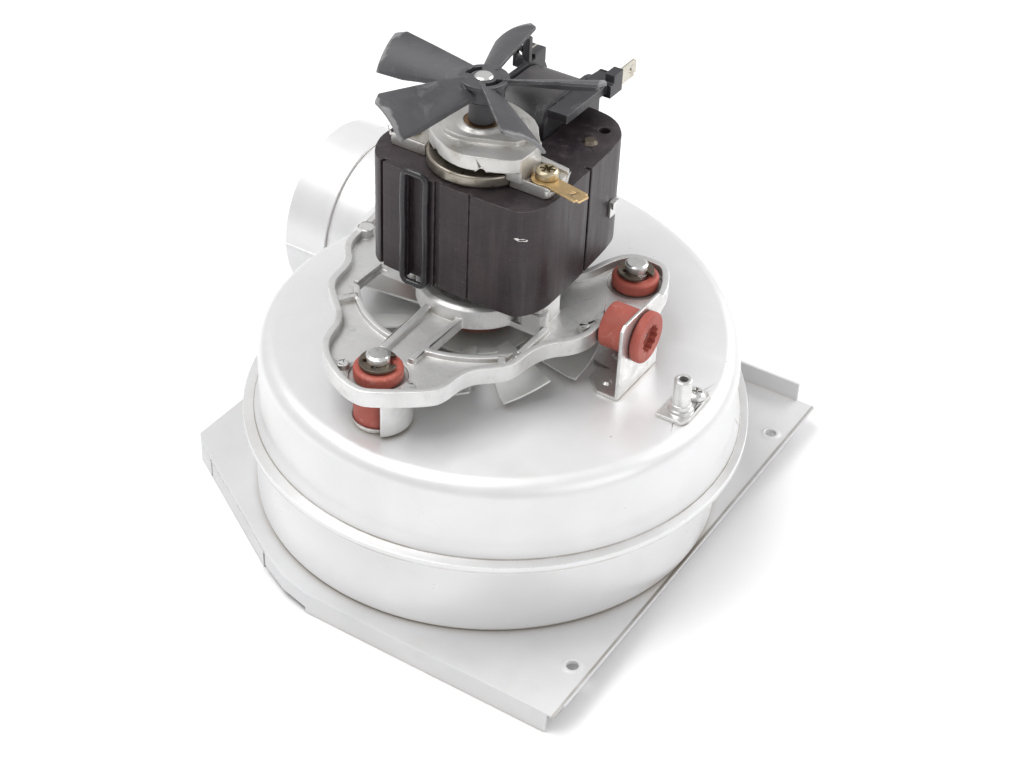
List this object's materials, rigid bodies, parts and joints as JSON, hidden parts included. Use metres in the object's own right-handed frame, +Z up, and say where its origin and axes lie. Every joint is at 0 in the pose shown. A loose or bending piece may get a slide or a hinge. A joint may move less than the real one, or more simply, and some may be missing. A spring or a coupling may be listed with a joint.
{
  "type": "combustion fan",
  "caption": "Boiler combustion fan: round steel volute on a folded base plate with a side outlet, and a shaded-pole motor on rubber mounts with cooling fans above and below it.",
  "frame": {"origin": "on the shaft axis at the underside of the base plate", "axes": "+Z up the shaft from the inlet to the motor, +X to the plate's right edge, -X the way the outlet blows"},
  "size_m": [0.2059, 0.1988, 0.1694],
  "materials": {
    "coated_steel": "satin",
    "casing_steel": "satin",
    "sheet_aluminium": "satin",
    "cast_aluminium": "cast",
    "galvanised_steel": "galvanised",
    "bright_steel": "machined",
    "spring_steel": "oiled",
    "passivated_steel": "yellow passivated",
    "sintered_bronze": "satin",
    "brass": "tarnished",
    "lamination_steel": "black lacquer",
    "rotor_steel": "ground",
    "silicone_rubber": "matt",
    "black_plastic": "matt",
    "grey_plastic": "satin",
    "wound_wire": "taped",
    "felt": "matt"
  },
  "bodies": {
    "housing": {"base_plate": "coated_steel", "lower_casing": "casing_steel", "upper_casing": "casing_steel", "outlet_collar": "casing_steel", "inlet_ring": "sheet_aluminium", "inlet_rivets": "bright_steel", "mounting_pins": "bright_steel", "cup_washers": "bright_steel", "grommets": "silicone_rubber", "e_clips": "spring_steel", "motor_plate": "cast_aluminium", "lower_bush": "sintered_bronze", "bearing_cap": "felt", "stator_stack": "lamination_steel", "shading_rings": "black_plastic", "stack_rivets": "spring_steel", "coil_winding": "wound_wire", "coil_bobbin": "black_plastic", "coil_terminals": "brass", "bearing_ring": "passivated_steel", "upper_bridge": "cast_aluminium", "upper_bush": "sintered_bronze", "bridge_screws": "passivated_steel", "earth_tab": "brass", "side_bracket": "bright_steel", "side_grommet": "silicone_rubber", "bracket_welds": "bright_steel", "pressure_nipple": "bright_steel", "nipple_screw": "bright_steel", "stack_clip": "bright_steel", "seal_plate": "sheet_aluminium"},
    "rotor": {"motor_shaft": "bright_steel", "rotor_core": "rotor_steel", "rotor_end_rings": "cast_aluminium", "impeller_disc": "sheet_aluminium", "impeller_blades": "sheet_aluminium", "impeller_shroud": "sheet_aluminium", "impeller_hub": "sintered_bronze", "cooling_fan": "galvanised_steel", "cooling_fan_hub": "passivated_steel", "top_fan": "grey_plastic"}
  },
  "joints": [
    {"name": "rotor_spin", "type": "hinge", "parent": "housing", "child": "rotor", "pos_m": [0, 0, 0.1], "axis": [0, 0, 1], "continuous": true}
  ]
}
